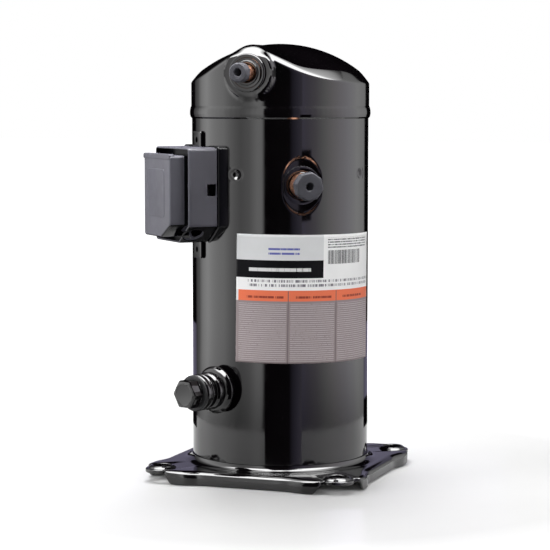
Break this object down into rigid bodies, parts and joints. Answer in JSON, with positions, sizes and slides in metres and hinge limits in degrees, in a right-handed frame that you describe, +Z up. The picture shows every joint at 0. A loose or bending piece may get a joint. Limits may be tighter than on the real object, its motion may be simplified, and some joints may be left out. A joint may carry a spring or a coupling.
{
  "type": "hermetic scroll compressor",
  "caption": "Upright hermetic scroll compressor: black welded cylindrical casing, domed cap, terminal box, copper tube stubs and square mounting base.",
  "frame": {"origin": "on the shell's axis, in the plane the base stands on", "axes": "+Z up along the shell's axis, -Y towards the discharge fitting, +X to the right seen from there"},
  "size_m": [0.2394, 0.2593, 0.45],
  "materials": {
    "casing_paint": "gloss black enamel over steel",
    "label_film": "printed film, satin",
    "copper_tube": "drawn copper",
    "plug_rubber": "grey moulded rubber",
    "seal_rubber": "black moulded rubber",
    "box_plastic": "moulded, satin face",
    "block_plastic": "moulded, matte",
    "iron_casting": "cast and machined",
    "machined_steel": "ground",
    "lamination_steel": "stacked sheet",
    "winding_copper": "enamelled copper wire",
    "scroll_aluminium": "machined",
    "bearing_bronze": "machined bearing lining",
    "terminal_brass": "plated",
    "seal_polymer": "filled polymer"
  },
  "bodies": {
    "housing": {"base_plate": "casing_paint", "bottom_cap": "casing_paint", "shell_tube": "casing_paint", "muffler_plate": "casing_paint", "top_cap": "casing_paint", "nameplate_label": "label_film", "discharge_collar": "casing_paint", "discharge_stub": "copper_tube", "suction_collar": "casing_paint", "suction_stub": "copper_tube", "oil_flange": "casing_paint", "oil_adapter": "casing_paint", "oil_seal_ring": "seal_rubber", "oil_plug": "casing_paint", "terminal_feedthrough": "machined_steel", "terminal_block": "block_plastic", "terminal_pin_1": "terminal_brass", "terminal_pin_2": "terminal_brass", "terminal_pin_3": "terminal_brass", "box_bracket_upper": "casing_paint", "box_bracket_lower": "casing_paint", "terminal_box_base": "box_plastic", "terminal_gasket": "seal_rubber", "ground_screw": "terminal_brass", "stator_core": "lamination_steel", "winding_lower": "winding_copper", "winding_upper": "winding_copper", "lower_bearing_housing": "iron_casting", "lower_bearing_bush": "bearing_bronze", "main_bearing_housing": "iron_casting", "main_bearing_bush": "bearing_bronze", "fixed_scroll": "iron_casting", "scroll_bolt_1": "machined_steel", "scroll_bolt_2": "machined_steel", "scroll_bolt_3": "machined_steel", "scroll_bolt_4": "machined_steel", "check_valve_cage": "machined_steel"},
    "crank": {"crankshaft": "machined_steel", "rotor_core": "lamination_steel", "counterweight_upper": "machined_steel", "counterweight_lower": "machined_steel", "drive_bush": "bearing_bronze", "oil_pickup": "machined_steel"},
    "orbiter": {"orbiting_scroll": "scroll_aluminium", "orbit_bearing_bush": "bearing_bronze"},
    "keyed_ring": {"oldham_ring": "scroll_aluminium"},
    "seal_float": {"floating_seal": "seal_polymer"},
    "check_disc": {"check_valve_disc": "machined_steel"},
    "box_lid": {"terminal_box_cover": "box_plastic"},
    "discharge_cap": {"discharge_plug": "plug_rubber"},
    "suction_cap": {"suction_plug": "plug_rubber"}
  },
  "joints": [
    {"name": "crank_spin", "type": "hinge", "parent": "housing", "child": "crank", "pos_m": [0, 0, 0.29], "axis": [0, 0, 1], "continuous": true},
    {"name": "orbit_pivot", "type": "hinge", "parent": "crank", "child": "orbiter", "pos_m": [0.005, 0, 0.32], "axis": [0, 0, 1], "continuous": true},
    {"name": "keyed_ring_slide", "type": "slide", "parent": "housing", "child": "keyed_ring", "axis": [0, 1, 0], "range_m": [-0.005, 0.005]},
    {"name": "seal_lift", "type": "slide", "parent": "housing", "child": "seal_float", "axis": [0, 0, 1], "range_m": [0, 0.0016]},
    {"name": "check_lift", "type": "slide", "parent": "housing", "child": "check_disc", "axis": [0, 0, 1], "range_m": [0, 0.0045]},
    {"name": "cover_pull", "type": "slide", "parent": "housing", "child": "box_lid", "axis": [-0.7071, -0.7071, 0], "range_m": [0, 0.06]},
    {"name": "discharge_plug_pull", "type": "slide", "parent": "housing", "child": "discharge_cap", "axis": [0, -1, 0], "range_m": [0, 0.03]},
    {"name": "suction_plug_pull", "type": "slide", "parent": "housing", "child": "suction_cap", "axis": [0.5592, -0.829, 0], "range_m": [0, 0.03]}
  ],
  "couplings": [
    {"joint": "orbit_pivot", "follows": "crank_spin", "ratio": -1}
  ]
}
